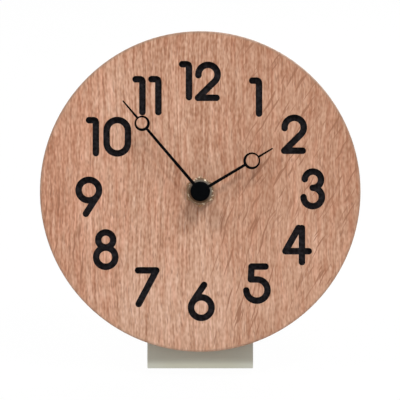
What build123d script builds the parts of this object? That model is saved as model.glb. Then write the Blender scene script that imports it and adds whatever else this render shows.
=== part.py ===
from build123d import *
from math import atan2, cos, degrees, hypot, pi, radians, sin, sqrt
import os

# Wooden desk clock, in millimetres.
# Every piece is first drawn in the dial's own frame: X to the right as seen from the
# front, Y backward from the front face of the disc, Z up from the axis of the hands.
# The whole clock is then leant back on its stand: +Z up, the dial faces -Y, and the
# origin is on the floor at the middle of the flat part of the foot.

# Wooden disc
disc_diameter = 150.0
disc_thickness = 16.0
disc_edge_radius = 0.7
pocket_side_clearance = 3.0
pocket_corner_radius = 8.0
bore_clearance = 0.1

# Numerals, milled into the face with a round cutter
numeral_height = 15.4
numeral_stroke = 3.1
numeral_depth = 2.0

# Steel stand, one bent strip
lean_angle = 12.0
strip_width = 50.0
strip_thickness = 2.0
strip_bend_radius = 5.0
strip_drop = 8.8
strip_edge_radius = 0.4
strip_corner_radius = 5.0
leg_rise = 37.0
foot_length = 60.0

# Wood screws that hold the stand
screw_spacing = 30.0
screw_height = 16.0
screw_length = 12.0
screw_shank_diameter = 3.5
screw_tip_length = 4.0
screw_tip_diameter = 0.9
screw_head_diameter = 7.0
screw_head_height = 2.2
screw_head_chamfer = 0.7
screw_slot_width = 1.0
screw_slot_length = 3.8
screw_slot_depth = 1.2
screw_hole_clearance = 0.25
screw_pilot_clearance = 0.03

# Quartz movement: case, cover, plate
movement_depth = 14.3
wheel_side_gap = 1.63
coil_wall_gap = 0.9
case_wall = 1.2
case_corner_radius = 2.5
divider_thickness = 1.2
cover_thickness = 1.2
cover_lip = 1.2
cover_lip_depth = 1.4
plate_thickness = 1.2
plate_clearance = 0.2
post_radius = 1.4
post_inset = 3.0
boss_radius = 1.5

# Centre fixing: bush, rubber washer, washer and nut
rubber_thickness = 1.0
rubber_diameter = 27.0
wood_under_nut = 7.0
bush_diameter = 8.0
bush_projection = 4.0
bush_flange_diameter = 12.0
bush_flange_thickness = 0.8
bush_edge = 0.35
nut_washer_diameter = 12.4
nut_washer_thickness = 0.5
nut_width = 12.6
nut_thickness = 2.5
nut_face_diameter = 10.8
nut_face_drop = 1.3
nut_rear_drop = 0.3
nut_rear_width = 0.9
fastener_clearance = 0.02

# Hands
hand_thickness = 0.4
hand_width_hub = 1.5
hand_width_ring = 1.25
hand_width_tip = 0.65
hub_diameter = 8.0
hub_collar_diameter = 6.6
hub_collar_length = 1.0
hour_hand_gap = 1.6
hand_spacing = 2.0
hour_hand_length = 39.3
hour_ring_distance = 27.9
hour_ring_diameter = 7.9
hour_ring_bore = 5.9
hour_ring_shift = 0.3
hour_hand_angle = 59.3
minute_hand_length = 55.5
minute_ring_distance = 41.6
minute_ring_diameter = 7.2
minute_ring_bore = 5.1
minute_ring_shift = 0.3
minute_hand_angle = -40.5
cap_diameter = 9.2
cap_height = 3.1
cap_front_radius = 0.9
cap_bore_depth = 2.4

# Arbors and running fits
pipe_diameter = 5.1
pipe_projection = 0.5
minute_arbor_diameter = 3.2
minute_thread_diameter = 2.6
minute_thread_flats = 2.2
minute_thread_length = 2.6
seconds_bore_diameter = 1.1
pivot_diameter = 1.0
pivot_depth = 1.0
running_clearance = 0.05
push_clearance = 0.01

# Wheels: thickness, spacing and tooth numbers
wheel_thickness = 1.0
wheel_gap = 0.4
pinion_overhang = 0.2
motion_module = 0.4
hour_wheel_teeth = 40
motion_pinion_teeth = 10
motion_wheel_teeth = 36
minute_pinion_teeth = 12
setting_pinion_teeth = 14
train_module = 0.3
fine_module = 0.25
centre_wheel_teeth = 64
third_pinion_teeth = 8
third_wheel_teeth = 60
seconds_pinion_teeth = 8
seconds_wheel_teeth = 60
intermediate_pinion_teeth = 10
intermediate_wheel_teeth = 60
rotor_pinion_teeth = 12
wheel_hub_radius = 1.6
wheel_holes = 4
wheel_hole_share = 0.36

# Tooth shape, as shares of the module or of the tooth pitch
addendum_share = 0.85
dedendum_share = 1.25
tooth_root_share = 0.6
tooth_tip_share = 0.2

# Where the arbors stand around the hands' axis, in degrees from the right
motion_direction = 30.0
setting_direction = 30.0
third_direction = 80.0
intermediate_direction = 190.0
rotor_direction = 120.0

# Setting knob
knob_diameter = 14.0
knob_thickness = 2.6
knob_rim_chamfer = 0.5
knob_grips = 14
knob_grip_radius = 0.9
knob_gap = 0.4
setting_shaft_diameter = 3.0

# Stepping motor
magnet_diameter = 5.2
magnet_length = 2.6
stator_thickness = 1.0
stator_bore_clearance = 0.6
stator_ring_width = 1.5
stator_arm_width = 4.0
coil_reach = 13.0
coil_offset = 22.8
core_width = 2.0
core_thickness = 1.0
bobbin_size = 6.2
bobbin_flange = 1.0
bobbin_wall = 0.6
winding_length = 18.0
winding_diameter = 5.6
winding_corner_radius = 1.8
peg_radius = 0.9

# Circuit board, chip and quartz crystal
board_width = 14.0
board_height = 13.0
board_thickness = 1.0
board_corner_radius = 1.0
chip_diameter = 5.0
chip_height = 0.9
chip_edge = 0.4
crystal_diameter = 2.0
crystal_length = 6.0
crystal_edge = 0.25
crystal_pin_diameter = 0.3
crystal_pin_length = 1.2

# Battery and its contacts
battery_diameter = 14.5
battery_length = 50.5
battery_nub_diameter = 5.5
battery_nub_length = 1.0
battery_edge = 0.4
battery_ring_diameter = 10.5
battery_ring_depth = 0.25
battery_floor_gap = 0.15
battery_wall_gap = 0.2
contact_thickness = 0.3
contact_width = 9.0
contact_height = 11.0
contact_bump_diameter = 4.4
contact_bump_tip_diameter = 2.2
contact_bump_rise = 1.0
contact_play = 0.1
spring_width = 4.0
spring_rise = 1.3
strip_height = 2.4
tab_length = 4.5
tab_width = 1.8

# How far a cutter runs past the face that it cuts through
overrun = 1.0

# Numerals as strokes, in shares of numeral_height. The origin of a figure is on its
# base line. A line is (x, y, x, y); an arc is (x, y, radius, first and last degree).
stroke_shares = {
    "0": {"lines": [(-0.325, 0.325, -0.325, 0.688), (0.325, 0.325, 0.325, 0.688)],
          "arcs": [(0, 0.325, 0.325, 180, 360), (0, 0.688, 0.325, 0, 180)]},
    "1": {"lines": [(-0.208, 1, -0.065, 1), (0, 0.935, 0, 0)],
          "arcs": [(-0.065, 0.935, 0.065, 0, 90)]},
    "2": {"lines": [(0.205, 0.5, -0.304, 0), (-0.304, 0, 0.258, 0)],
          "arcs": [(0, 0.708, 0.292, -45.5, 184)]},
    "3": {"lines": [],
          "arcs": [(0.006, 0.805, 0.247, -90, 176), (0, 0.279, 0.279, -179, 90)]},
    "4": {"lines": [(0, 1.032, 0, 0), (-0.5, 0.331, 0.208, 0.331), (-0.104, 1.036, -0.5, 0.331)],
          "arcs": []},
    "5": {"lines": [(0.26, 1.036, -0.162, 1.036), (-0.162, 1.036, -0.182, 0.645),
                    (-0.182, 0.645, 0, 0.644)],
          "arcs": [(0, 0.322, 0.322, -178, 90)]},
    "6": {"lines": [(0.084, 1.0, -0.263, 0.481)], "arcs": [(0, 0.31, 0.312, 0, 360)]},
    "7": {"lines": [(-0.19, 1.02, 0.364, 1.02), (0.364, 1.02, -0.17, 0)], "arcs": []},
    "8": {"lines": [], "arcs": [(0, 0.292, 0.292, 0, 360), (0, 0.818, 0.227, 0, 360)]},
    "9": {"lines": [(-0.091, 0, 0.2625, 0.5486)], "arcs": [(0, 0.7175, 0.312, 0, 360)]},
}

# Where each figure's origin stands on the dial, in shares of the disc's radius
figure_shares = [
    ("1", -0.0701, 0.588), ("2", 0.0484, 0.584),
    ("1", 0.3667, 0.4855),
    ("2", 0.5860, 0.254),
    ("3", 0.7013, -0.092),
    ("4", 0.6340, -0.4405),
    ("5", 0.3533, -0.681),
    ("6", 0.0067, -0.788),
    ("7", -0.3487, -0.7015),
    ("8", -0.5893, -0.470),
    ("9", -0.6945, -0.139),
    ("1", -0.6507, 0.239), ("0", -0.5173, 0.2373),
    ("1", -0.3605, 0.4945), ("1", -0.2613, 0.4947),
]

os.makedirs("parts", exist_ok=True)

# Depths behind the front face of the disc, all worked out from the sizes above
disc_radius = disc_diameter / 2
pocket_floor = wood_under_nut
case_front = pocket_floor + rubber_thickness
case_floor = case_front + case_wall
case_rear = case_front + movement_depth
cover_rear = case_rear + cover_thickness
bush_front = -bush_projection
hour_wheel_front = case_floor + bush_flange_thickness + wheel_gap
motion_wheel_front = hour_wheel_front + wheel_thickness + wheel_gap
plate_front = motion_wheel_front + wheel_thickness + wheel_gap
plate_rear = plate_front + plate_thickness
centre_wheel_front = plate_rear + wheel_gap
third_wheel_front = centre_wheel_front + wheel_thickness + wheel_gap
seconds_wheel_front = third_wheel_front + wheel_thickness + wheel_gap
intermediate_wheel_front = seconds_wheel_front + wheel_thickness + wheel_gap
boss_front = intermediate_wheel_front + wheel_thickness + 2 * wheel_gap
hour_hand_rear = bush_front - hour_hand_gap
minute_hand_rear = hour_hand_rear - hand_spacing - hand_thickness
cap_rear = minute_hand_rear - hand_thickness


def slab(shape, front, rear):
    """Extrude a shape drawn as seen from the front, from one depth to another."""
    return Pos(0, rear, 0) * Rot(90, 0, 0) * extrude(shape, amount=rear - front)


def turned(profile):
    """Turn a closed profile of (radius, depth) points about the axis of the hands."""
    return revolve(make_face(Polyline(*profile, close=True)), Axis.Y)


def rod(radius, front, rear, place=(0, 0)):
    """Round rod along the depth, at a place on the dial."""
    return slab(Pos(*place) * Circle(radius), front, rear)


def block(left, right, front, rear, bottom, top):
    """Box between two corners of the dial frame."""
    size = Box(right - left, rear - front, top - bottom)
    return Pos((left + right) / 2, (front + rear) / 2, (bottom + top) / 2) * size


def polar(distance, direction, start=(0, 0)):
    """Place at a distance and a direction in degrees from a start place."""
    turn = radians(direction)
    return (start[0] + distance * cos(turn), start[1] + distance * sin(turn))


def pitch_radius(teeth, module):
    return teeth * module / 2


def meshing_phase(teeth, phase, other_teeth, direction):
    """Angle of a tooth of the other wheel, so that a gap of it meets this wheel's tooth.

    The direction points from this wheel's centre to the other one's.
    """
    tooth_turn = 360 / teeth
    other_turn = 360 / other_teeth
    passed_share = ((direction - phase) / tooth_turn) % 1
    return direction + 180 + (passed_share + 0.5) * other_turn


def gear_face(teeth, module, phase):
    """Toothed outline with straight flanks, a tooth centred on the phase angle."""
    middle = pitch_radius(teeth, module)
    tip = middle + addendum_share * module
    root = middle - dedendum_share * module
    turn = 2 * pi / teeth
    points = []
    for tooth in range(teeth):
        centre = radians(phase) + tooth * turn
        corners = [(root, -tooth_root_share), (tip, -tooth_tip_share),
                   (tip, tooth_tip_share), (root, tooth_root_share)]
        for radius, half_share in corners:
            angle = centre + half_share * turn / 2
            points.append((radius * cos(angle), radius * sin(angle)))
    return make_face(Polyline(*points, close=True))


def gear(teeth, module, phase, front, rear, place=(0, 0)):
    return slab(Pos(*place) * gear_face(teeth, module, phase), front, rear)


def wheel_blank_holes(teeth, module, front, place):
    """Round openings in the web of a large wheel."""
    rim = pitch_radius(teeth, module) - 2 * dedendum_share * module
    hole_radius = (rim - wheel_hub_radius) * wheel_hole_share
    centre_radius = (rim + wheel_hub_radius) / 2
    holes = []
    for index in range(wheel_holes):
        spot = polar(centre_radius, index * 360 / wheel_holes + 180 / wheel_holes, place)
        holes.append(rod(hole_radius, front - overrun, front + wheel_thickness + overrun, spot))
    return holes


# Arbor places on the dial and the angles at which the teeth are in mesh
motion_distance = pitch_radius(minute_pinion_teeth + motion_wheel_teeth, motion_module)
hour_module = 2 * motion_distance / (motion_pinion_teeth + hour_wheel_teeth)
setting_distance = pitch_radius(motion_wheel_teeth + setting_pinion_teeth, motion_module)
third_distance = pitch_radius(seconds_pinion_teeth + third_wheel_teeth, train_module)
centre_module = 2 * third_distance / (third_pinion_teeth + centre_wheel_teeth)
intermediate_distance = pitch_radius(seconds_wheel_teeth + intermediate_pinion_teeth, train_module)
rotor_distance = pitch_radius(intermediate_wheel_teeth + rotor_pinion_teeth, fine_module)

# Case: gear space above, battery bay below, the hands' axis in the middle of its height.
# It is as wide as the wider of the two: the cell with its contacts, or the coil's reach.
battery_radius = battery_diameter / 2
divider_top = -pitch_radius(centre_wheel_teeth, centre_module) - wheel_side_gap
divider_bottom = divider_top - divider_thickness
battery_axis_height = divider_bottom - battery_wall_gap - battery_radius
battery_axis_depth = case_floor + battery_floor_gap + battery_radius
bay_bottom = battery_axis_height - battery_radius - battery_wall_gap
contact_room = 2 * contact_thickness + spring_rise + contact_bump_rise + 2 * contact_play
bay_half = (battery_length + contact_room) / 2
half_inner = max(bay_half, coil_offset + bobbin_size / 2 + coil_wall_gap)
half_width = half_inner + case_wall
half_height = case_wall - bay_bottom
inner_top = half_height - case_wall

centre_place = (0, 0)
motion_place = polar(motion_distance, motion_direction)
setting_place = polar(setting_distance, setting_direction, motion_place)
third_place = polar(third_distance, third_direction)
intermediate_place = polar(intermediate_distance, intermediate_direction)
rotor_place = polar(rotor_distance, rotor_direction, intermediate_place)

motion_wheel_phase = meshing_phase(minute_pinion_teeth, 0, motion_wheel_teeth, motion_direction)
hour_wheel_phase = meshing_phase(
    motion_pinion_teeth, 0, hour_wheel_teeth, motion_direction + 180)
setting_pinion_phase = meshing_phase(
    motion_wheel_teeth, motion_wheel_phase, setting_pinion_teeth, setting_direction)
third_pinion_phase = meshing_phase(centre_wheel_teeth, 0, third_pinion_teeth, third_direction)
seconds_pinion_phase = meshing_phase(
    third_wheel_teeth, 0, seconds_pinion_teeth, third_direction + 180)
intermediate_pinion_phase = meshing_phase(
    seconds_wheel_teeth, 0, intermediate_pinion_teeth, intermediate_direction)
rotor_pinion_phase = meshing_phase(
    intermediate_wheel_teeth, 0, rotor_pinion_teeth, rotor_direction)

pivot_radius = pivot_diameter / 2
pivot_hole_radius = pivot_radius + running_clearance
setting_shaft_radius = setting_shaft_diameter / 2
pipe_radius = pipe_diameter / 2
minute_arbor_radius = minute_arbor_diameter / 2
minute_thread_radius = minute_thread_diameter / 2


# Wooden disc with its milled numerals
def stroke_line(x0, y0, x1, y1):
    centre = ((x0 + x1) * numeral_height / 2, (y0 + y1) * numeral_height / 2)
    run = hypot(x1 - x0, y1 - y0) * numeral_height
    turn = degrees(atan2(y1 - y0, x1 - x0))
    return Pos(*centre) * Rot(0, 0, turn) * SlotCenterToCenter(run, numeral_stroke)


def stroke_arc(x, y, radius_share, first, last):
    centre = Pos(x * numeral_height, y * numeral_height)
    radius = radius_share * numeral_height
    if last - first == 360:
        outer = Circle(radius + numeral_stroke / 2)
        return centre * (outer - Circle(radius - numeral_stroke / 2))
    if radius <= numeral_stroke / 2:
        return centre * Pos(*polar(radius, (first + last) / 2)) * Circle(numeral_stroke / 2)
    arc = CenterArc((0, 0), radius, first, last - first)
    return centre * SlotArc(arc, numeral_stroke)


def figure(name):
    """One figure as the union of its round-ended strokes."""
    strokes = [stroke_line(*line) for line in stroke_shares[name]["lines"]]
    strokes += [stroke_arc(*arc) for arc in stroke_shares[name]["arcs"]]
    return Sketch() + strokes


def wooden_disc():
    disc = rod(disc_radius, 0, disc_thickness)
    disc = fillet(disc.edges(), disc_edge_radius)
    around = 2 * pocket_side_clearance
    pocket = RectangleRounded(
        2 * half_width + around, 2 * half_height + around, pocket_corner_radius)
    cutters = [
        slab(pocket, pocket_floor, disc_thickness + overrun),
        rod(bush_diameter / 2 + bore_clearance, -overrun, pocket_floor + overrun),
    ]
    for place in screw_places():
        hole = screw_shank_diameter / 2 + screw_pilot_clearance
        depth = disc_thickness + strip_thickness - screw_length
        tip = screw_shank(hole, depth - screw_pilot_clearance, disc_thickness + overrun)
        cutters.append(Pos(place[0], 0, place[1]) * tip)
    for name, x_share, y_share in figure_shares:
        spot = Pos(x_share * disc_radius, y_share * disc_radius)
        cutters.append(slab(spot * figure(name), -overrun, numeral_depth))
    return disc - cutters


# Steel stand: leg up the back of the disc, bend, and foot on the floor
bend_centre_depth = disc_thickness + strip_bend_radius
bend_centre_height = -disc_radius - strip_drop + strip_bend_radius
leg_top = -disc_radius + leg_rise


def screw_places():
    height = -disc_radius + screw_height
    return [(side * screw_spacing / 2, height) for side in (-1, 1)]


def strip_outline_side(radius):
    """Leg, bend and foot on one side of the strip, in the plane of depth and height."""
    lean = radians(lean_angle)
    centre = (bend_centre_depth, bend_centre_height)
    leg_depth = centre[0] - radius
    middle = radians(lean_angle / 2 - 135)
    bend_middle = (centre[0] + radius * cos(middle), centre[1] + radius * sin(middle))
    bend_end = (centre[0] + radius * sin(lean), centre[1] - radius * cos(lean))
    foot_end = (bend_end[0] + foot_length * cos(lean), bend_end[1] + foot_length * sin(lean))
    leg_start = (leg_depth, leg_top)
    leg_end = (leg_depth, centre[1])
    return leg_start, leg_end, bend_middle, bend_end, foot_end


def steel_stand():
    outer = strip_outline_side(strip_bend_radius)
    inner = strip_outline_side(strip_bend_radius - strip_thickness)
    outline = [
        Line(outer[0], outer[1]), ThreePointArc(outer[1], outer[2], outer[3]),
        Line(outer[3], outer[4]), Line(outer[4], inner[4]), Line(inner[4], inner[3]),
        ThreePointArc(inner[3], inner[2], inner[1]), Line(inner[1], inner[0]),
        Line(inner[0], outer[0]),
    ]
    profile = make_face(outline)
    strip = extrude(profile, amount=strip_width / 2, both=True)
    strip = Rot(0, 0, 90) * Rot(90, 0, 0) * strip
    corners = [
        edge for edge in strip.edges().filter_by(GeomType.LINE)
        if abs(edge.length - strip_thickness) < strip_edge_radius / 2
    ]
    strip = fillet(corners, strip_corner_radius)
    side_edges = (strip.faces().sort_by(Axis.X)[0].edges()
                  + strip.faces().sort_by(Axis.X)[-1].edges())
    strip = fillet(side_edges, strip_edge_radius)
    hole = screw_shank_diameter / 2 + screw_hole_clearance
    for place in screw_places():
        strip -= rod(hole, disc_thickness - overrun, disc_thickness + strip_thickness + overrun, place)
    return strip


# Screws of the stand
def screw_shank(radius, front, rear):
    """Shank with a conical tip at its front end."""
    tip = screw_tip_diameter / 2
    return turned([(0, front), (tip, front), (radius, front + screw_tip_length),
                   (radius, rear), (0, rear)])


def stand_screws():
    seat = disc_thickness + strip_thickness
    head_radius = screw_head_diameter / 2
    head = rod(head_radius, seat, seat + screw_head_height)
    head = chamfer(head.edges().sort_by(Axis.Y)[-1], screw_head_chamfer)
    slot_front = seat + screw_head_height - screw_slot_depth
    slot_rear = seat + screw_head_height + overrun
    half_long = screw_slot_length / 2
    half_wide = screw_slot_width / 2
    head -= block(-half_long, half_long, slot_front, slot_rear, -half_wide, half_wide)
    head -= block(-half_wide, half_wide, slot_front, slot_rear, -half_long, half_long)
    screw = head + screw_shank(screw_shank_diameter / 2, seat - screw_length, seat)
    return Compound([Pos(x, 0, z) * screw for x, z in screw_places()])


# Movement case: front tub with the gear space above and the battery bay below
front_boss_rear = hour_wheel_front - pinion_overhang - running_clearance
strip_front = plate_rear + board_thickness
posts_top = inner_top - post_inset
posts_bottom = divider_top + post_inset - case_wall
posts_side = half_inner - post_inset


def plate_posts():
    return [(side * posts_side, height) for side in (-1, 1) for height in (posts_bottom, posts_top)]


def case_outline():
    return RectangleRounded(2 * half_width, 2 * half_height, case_corner_radius)


def notch(left, right, front):
    """Slot through the divider, open to the rear, for a battery contact."""
    return block(left, right, front, case_rear + overrun, divider_bottom - overrun,
                 divider_top + overrun)


def movement_case():
    tub = slab(case_outline(), case_front, case_rear)
    bay = block(-bay_half, bay_half, case_floor, case_rear + overrun, bay_bottom, divider_bottom)
    gear_space = block(-half_inner, half_inner, case_floor, case_rear + overrun,
                       divider_top, inner_top)
    tub = tub - bay - gear_space
    for place in plate_posts():
        tub += rod(post_radius, case_floor - wheel_gap, plate_front, place)
    for place in (motion_place, setting_place):
        tub += rod(boss_radius, case_floor - wheel_gap, front_boss_rear, place)
        tub -= rod(pivot_hole_radius, front_boss_rear - pivot_depth, front_boss_rear + overrun, place)
    tub -= rod(bush_diameter / 2 + fastener_clearance, case_front - overrun, case_floor + overrun)
    tub -= notch(-bay_half, -bay_half + 2 * contact_thickness, strip_front - contact_play)
    tub -= notch(bay_half - 2 * contact_thickness, bay_half, strip_front - contact_play)
    return tub


# Rear cover over the gear space, with the rear bearings
def rear_cover():
    above = Pos(0, (divider_bottom + half_height) / 2) * Rectangle(
        2 * half_width, half_height - divider_bottom)
    cover = slab(case_outline() & above, case_rear, cover_rear)
    lip_outer = block(
        -half_inner + plate_clearance, half_inner - plate_clearance,
        case_rear - cover_lip_depth, case_rear,
        divider_top + plate_clearance, inner_top - plate_clearance)
    inset = plate_clearance + cover_lip
    lip_inner = block(
        -half_inner + inset, half_inner - inset, case_rear - cover_lip_depth - overrun, case_rear,
        divider_top + inset, inner_top - inset)
    cover += lip_outer - lip_inner
    for place in (centre_place, third_place, intermediate_place, rotor_place):
        cover += rod(boss_radius, boss_front, case_rear + wheel_gap, place)
        cover -= rod(pivot_hole_radius, boss_front - overrun, boss_front + pivot_depth, place)
    cover += rod(setting_shaft_radius + boss_radius, boss_front, case_rear + wheel_gap, setting_place)
    cover -= rod(setting_shaft_radius + running_clearance, boss_front - overrun,
                 cover_rear + overrun, setting_place)
    return cover


# Middle plate between the motion work and the going train
def middle_plate():
    left = -half_inner + plate_clearance
    right = half_inner - plate_clearance
    plate = block(left, right, plate_front, plate_rear,
                  divider_top + plate_clearance, inner_top - plate_clearance)
    for place in stator_ends():
        plate += rod(peg_radius, plate_rear - wheel_gap, stator_front, place)
    for place in (motion_place, third_place, intermediate_place, rotor_place):
        plate -= rod(pivot_hole_radius, plate_front - overrun, plate_rear + overrun, place)
    plate -= rod(minute_arbor_radius + running_clearance, plate_front - overrun, plate_rear + overrun)
    plate -= rod(setting_shaft_radius + running_clearance, plate_front - overrun,
                 plate_rear + overrun, setting_place)
    return plate


# Bush, washers and nut that clamp the movement through the disc
def threaded_bush():
    bore = pipe_radius + running_clearance
    radius = bush_diameter / 2
    flange = bush_flange_diameter / 2
    return turned([
        (bore, bush_front), (radius - bush_edge, bush_front), (radius, bush_front + bush_edge),
        (radius, case_floor), (flange, case_floor), (flange, case_floor + bush_flange_thickness),
        (bore, case_floor + bush_flange_thickness),
    ])


def sealing_washer():
    ring = Circle(rubber_diameter / 2) - Circle(bush_diameter / 2 + bore_clearance)
    return slab(ring, pocket_floor, case_front)


def nut_washer():
    ring = Circle(nut_washer_diameter / 2) - Circle(bush_diameter / 2 + fastener_clearance)
    return slab(ring, -nut_washer_thickness, 0)


def central_nut():
    rear = -nut_washer_thickness
    front = rear - nut_thickness
    hexagon = slab(RegularPolygon(nut_width / 2, 6, major_radius=False, rotation=30), front, rear)
    corner = nut_width / sqrt(3)
    hexagon &= turned([
        (0, front), (nut_face_diameter / 2, front), (corner, front + nut_face_drop),
        (corner, rear - nut_rear_drop), (corner - nut_rear_width, rear), (0, rear),
    ])
    return hexagon - rod(bush_diameter / 2 + fastener_clearance, front - overrun, rear + overrun)


# Hands: a thin arm from the hub through a ring to a fine tip
def arm(start, end, start_width, end_width):
    half_start = start_width / 2
    half_end = end_width / 2
    return make_face(Polyline(
        (-half_start, start), (half_start, start), (half_end, end), (-half_end, end), close=True))


def hand(length, ring_distance, ring_diameter, ring_bore, ring_shift, bore, rear):
    ring_radius = ring_diameter / 2
    shape = Circle(hub_diameter / 2) + arm(0, ring_distance, hand_width_hub, hand_width_ring)
    shape += arm(ring_distance, length, hand_width_ring, hand_width_tip)
    shape += Pos(0, ring_distance) * Circle(ring_radius)
    shape -= Pos(0, ring_distance + ring_shift) * Circle(ring_bore / 2)
    shape -= bore
    return slab(shape, rear - hand_thickness, rear)


def hour_hand():
    bore = Circle(pipe_radius + push_clearance)
    blade = hand(hour_hand_length, hour_ring_distance, hour_ring_diameter, hour_ring_bore,
                 hour_ring_shift, bore, hour_hand_rear)
    collar = slab(Circle(hub_collar_diameter / 2) - bore, hour_hand_rear,
                  hour_hand_rear + hub_collar_length)
    return Rot(0, hour_hand_angle, 0) * (blade + collar)


def flatted_circle(radius, flats):
    return Circle(radius) & Rectangle(3 * radius, flats)


def minute_hand():
    bore = flatted_circle(minute_thread_radius + push_clearance,
                          minute_thread_flats + 2 * push_clearance)
    blade = hand(minute_hand_length, minute_ring_distance, minute_ring_diameter, minute_ring_bore,
                 minute_ring_shift, bore, minute_hand_rear)
    return Rot(0, minute_hand_angle, 0) * blade


def cap_nut():
    front = cap_rear - cap_height
    radius = cap_diameter / 2
    cap = rod(radius, front, cap_rear)
    cap = fillet(cap.edges().sort_by(Axis.Y)[0], cap_front_radius)
    return cap - rod(minute_thread_radius + push_clearance, cap_rear - cap_bore_depth,
                     cap_rear + overrun)


# Motion work: the wheels that drive the hour hand at a twelfth of the minute hand
def hour_wheel():
    wheel = gear(hour_wheel_teeth, hour_module, hour_wheel_phase, hour_wheel_front,
                 hour_wheel_front + wheel_thickness)
    pipe = rod(pipe_radius, hour_hand_rear - hand_thickness - pipe_projection, hour_wheel_front)
    bore = rod(minute_arbor_radius + running_clearance, hour_hand_rear - hub_diameter,
               hour_wheel_front + wheel_thickness + overrun)
    return wheel + pipe - bore


def minute_arbor():
    pinion_front = hour_wheel_front + wheel_thickness + pinion_overhang
    pinion_rear = plate_front - pinion_overhang
    arbor = rod(minute_arbor_radius, minute_hand_rear, centre_wheel_front + wheel_thickness)
    arbor += gear(minute_pinion_teeth, motion_module, 0, pinion_front, pinion_rear)
    tip = minute_hand_rear - minute_thread_length
    flatted = flatted_circle(minute_thread_radius, minute_thread_flats)
    arbor += Rot(0, minute_hand_angle, 0) * slab(flatted, tip, minute_hand_rear)
    return arbor - rod(seconds_bore_diameter / 2, tip - overrun,
                       centre_wheel_front + wheel_thickness + overrun)


def motion_wheel():
    pinion_front = hour_wheel_front - pinion_overhang
    wheel_rear = motion_wheel_front + wheel_thickness
    wheel = gear(motion_wheel_teeth, motion_module, motion_wheel_phase, motion_wheel_front,
                 wheel_rear, motion_place)
    wheel += gear(motion_pinion_teeth, hour_module, 0, pinion_front, motion_wheel_front,
                  motion_place)
    pivot_front = front_boss_rear - pivot_depth + running_clearance
    return wheel + rod(pivot_radius, pivot_front, plate_rear, motion_place)


def setting_pinion():
    pinion_rear = plate_front - pinion_overhang
    piece = gear(setting_pinion_teeth, motion_module, setting_pinion_phase,
                 motion_wheel_front, pinion_rear, setting_place)
    piece += rod(setting_shaft_radius, pinion_rear, cover_rear + knob_gap + knob_thickness / 2,
                 setting_place)
    pivot_front = front_boss_rear - pivot_depth + running_clearance
    return piece + rod(pivot_radius, pivot_front, motion_wheel_front, setting_place)


def setting_knob():
    front = cover_rear + knob_gap
    rear = front + knob_thickness
    knob = rod(knob_diameter / 2, front, rear)
    knob = chamfer(knob.edges(), knob_rim_chamfer)
    for index in range(knob_grips):
        spot = polar(knob_diameter / 2 + knob_grip_radius / 2, index * 360 / knob_grips)
        knob -= rod(knob_grip_radius, front - overrun, rear + overrun, spot)
    knob -= rod(setting_shaft_radius + push_clearance, front - overrun,
                front + knob_thickness / 2 + push_clearance)
    return Pos(setting_place[0], 0, setting_place[1]) * knob


# Going train from the rotor to the centre wheel
def centre_wheel():
    rear = centre_wheel_front + wheel_thickness
    wheel = gear(centre_wheel_teeth, centre_module, 0, centre_wheel_front, rear)
    wheel -= rod(minute_arbor_radius + running_clearance, centre_wheel_front - overrun, rear + overrun)
    return wheel - wheel_blank_holes(centre_wheel_teeth, centre_module, centre_wheel_front, (0, 0))


def train_piece(place, wheel, pinion, wheel_front, pivot_front):
    """A wheel and its pinion on one arbor, each given as teeth, module and phase."""
    wheel_rear = wheel_front + wheel_thickness
    pinion_front = wheel_front - wheel_thickness - wheel_gap - pinion_overhang
    piece = gear(*wheel, wheel_front, wheel_rear, place)
    holes = wheel_blank_holes(wheel[0], wheel[1], wheel_front, place)
    piece = piece - holes
    piece += gear(*pinion, pinion_front, wheel_front, place)
    return piece + rod(pivot_radius, pivot_front, boss_front + pivot_depth - running_clearance, place)


def third_wheel():
    return train_piece(
        third_place, (third_wheel_teeth, train_module, 0),
        (third_pinion_teeth, centre_module, third_pinion_phase), third_wheel_front, plate_front)


def seconds_wheel():
    pivot_front = minute_hand_rear
    return train_piece(
        centre_place, (seconds_wheel_teeth, train_module, 0),
        (seconds_pinion_teeth, train_module, seconds_pinion_phase), seconds_wheel_front, pivot_front)


def intermediate_wheel():
    return train_piece(
        intermediate_place, (intermediate_wheel_teeth, fine_module, 0),
        (intermediate_pinion_teeth, train_module, intermediate_pinion_phase),
        intermediate_wheel_front, plate_front)


# Stepping motor: rotor, stator plate, core, bobbin and winding
stator_front = third_wheel_front
stator_rear = stator_front + stator_thickness
stator_middle = (stator_front + stator_rear) / 2
magnet_front = stator_middle - magnet_length / 2
core_rear = stator_rear + core_thickness
core_middle = (stator_rear + core_rear) / 2


def rotor_pinion():
    pinion_front = intermediate_wheel_front - pinion_overhang
    pinion_rear = intermediate_wheel_front + wheel_thickness + pinion_overhang
    piece = gear(rotor_pinion_teeth, fine_module, rotor_pinion_phase, pinion_front, pinion_rear,
                 rotor_place)
    return piece + rod(pivot_radius, plate_front, boss_front + pivot_depth - running_clearance,
                       rotor_place)


def rotor_magnet():
    ring = Circle(magnet_diameter / 2) - Circle(pivot_radius)
    return slab(Pos(*rotor_place) * ring, magnet_front, magnet_front + magnet_length)


def stator_ends():
    """Places where the stator's arms meet the ends of the coil core."""
    return [(-coil_offset, rotor_place[1] + side * coil_reach) for side in (-1, 1)]


def stator():
    hole = magnet_diameter / 2 + stator_bore_clearance
    shape = Pos(*rotor_place) * Circle(hole + stator_ring_width)
    side_bar = SlotCenterToCenter(2 * coil_reach, stator_arm_width)
    shape += Pos(*rotor_place) * Rot(0, 0, 90) * side_bar
    run = rotor_place[0] + coil_offset
    for end in stator_ends():
        shape += Pos(end[0] + run / 2, end[1]) * SlotCenterToCenter(run, stator_arm_width)
    shape -= Pos(*rotor_place) * Circle(hole)
    return slab(shape, stator_front, stator_rear)


def coil_core():
    half = core_width / 2
    reach = coil_reach + half
    middle = rotor_place[1]
    return block(-coil_offset - half, -coil_offset + half, stator_rear, core_rear,
                 middle - reach, middle + reach)


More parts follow.
